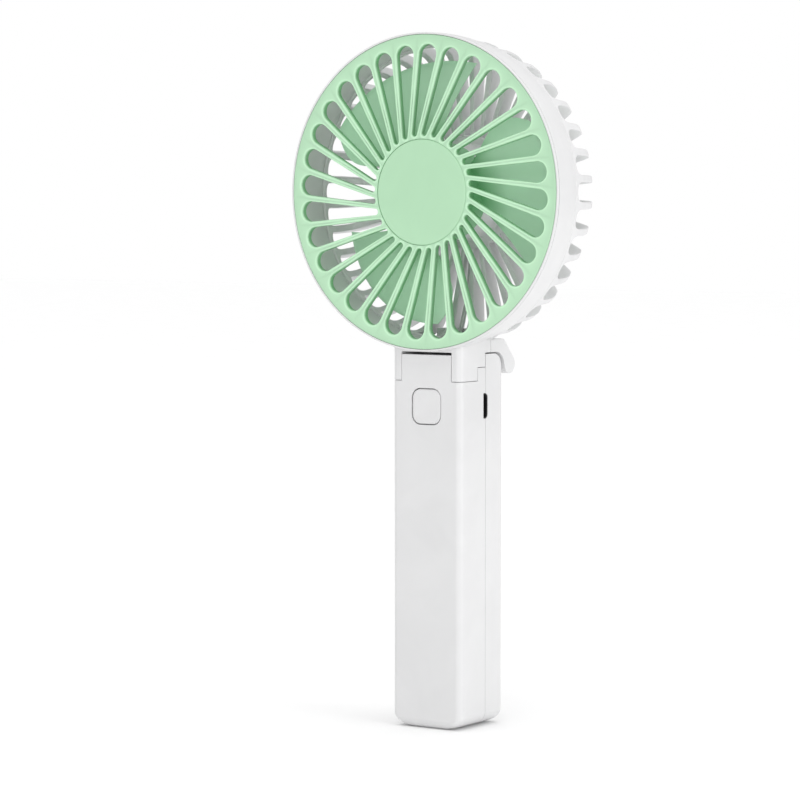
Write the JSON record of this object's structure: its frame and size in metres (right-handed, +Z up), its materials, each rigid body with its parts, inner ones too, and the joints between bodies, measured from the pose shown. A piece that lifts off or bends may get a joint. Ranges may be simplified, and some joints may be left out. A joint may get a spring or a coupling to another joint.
{
  "type": "handheld electric fan",
  "caption": "Rechargeable handheld fan: round guarded head that folds back on a rectangular battery handle with a push button and a charging port.",
  "frame": {"origin": "centre of the flat underside of the handle, where the fan stands", "axes": "+Z up along the handle to the head, the fan blows towards -Y, +X to the right when looking at the front grille, on the side with the charging port"},
  "size_m": [0.0986, 0.0344, 0.217],
  "materials": {
    "white_plastic": "white satin ABS, fine mould texture",
    "mint_plastic": "pastel mint satin ABS",
    "mint_cap_plastic": "pastel mint smooth plastic",
    "mint_blade_plastic": "mint moulded blades",
    "black_plastic": "black moulded plastic",
    "bright_steel": "nickel-plated steel",
    "motor_steel": "zinc-plated drawn steel",
    "copper_wire": "enamelled copper winding",
    "brass": "plain brass and sintered bronze",
    "magnet_grey": "dark ferrite",
    "board_green": "green solder-masked glass-epoxy board",
    "cell_wrap": "blue heat-shrink wrap",
    "red_lead": "red silicone insulation",
    "black_lead": "black silicone insulation",
    "white_lead": "white silicone insulation"
  },
  "bodies": {
    "handle": {"handle_front_shell": "white_plastic", "handle_rear_shell": "white_plastic", "shell_screw_lower": "bright_steel", "shell_screw_upper": "bright_steel", "hinge_pin": "bright_steel", "battery_cell": "cell_wrap", "battery_cap": "bright_steel", "battery_tab_top": "bright_steel", "battery_tab_bottom": "bright_steel", "battery_lead_red": "red_lead", "battery_lead_black": "black_lead", "circuit_board": "board_green", "charger_chip": "black_plastic", "boost_chip": "black_plastic", "boost_inductor": "magnet_grey", "filter_capacitor": "bright_steel", "usb_port_shell": "black_plastic", "usb_port_tongue": "black_plastic", "switch_body": "black_plastic", "motor_lead_plus_lower": "white_lead", "motor_lead_minus_lower": "white_lead"},
    "head": {"head_housing": "white_plastic", "rear_guard": "white_plastic", "front_grille": "mint_plastic", "grille_centre_cap": "mint_cap_plastic", "motor_cover": "white_plastic", "motor_can": "motor_steel", "motor_bush_front": "brass", "motor_end_bell": "black_plastic", "motor_bush_rear": "brass", "motor_magnet": "magnet_grey", "motor_terminal_red": "brass", "motor_terminal_black": "brass", "motor_lead_plus_upper": "white_lead", "motor_lead_minus_upper": "white_lead"},
    "rotor": {"impeller": "mint_blade_plastic", "motor_shaft": "bright_steel", "armature_core": "motor_steel", "armature_coil_1": "copper_wire", "armature_coil_2": "copper_wire", "armature_coil_3": "copper_wire", "commutator": "brass"},
    "button": {"button_cap": "white_plastic", "switch_plunger": "mint_cap_plastic"}
  },
  "joints": [
    {"name": "head_fold", "type": "hinge", "parent": "handle", "child": "head", "pos_m": [0, 0.016, 0.1136], "axis": [-1, 0, 0], "range_deg": [0, 180]},
    {"name": "impeller_spin", "type": "hinge", "parent": "head", "child": "rotor", "pos_m": [0, -0.0133, 0.1677], "axis": [0, -1, 0], "continuous": true},
    {"name": "button_press", "type": "slide", "parent": "handle", "child": "button", "axis": [0, 1, 0], "range_m": [0, 0.0005], "stiffness_N_per_m": 1500}
  ]
}
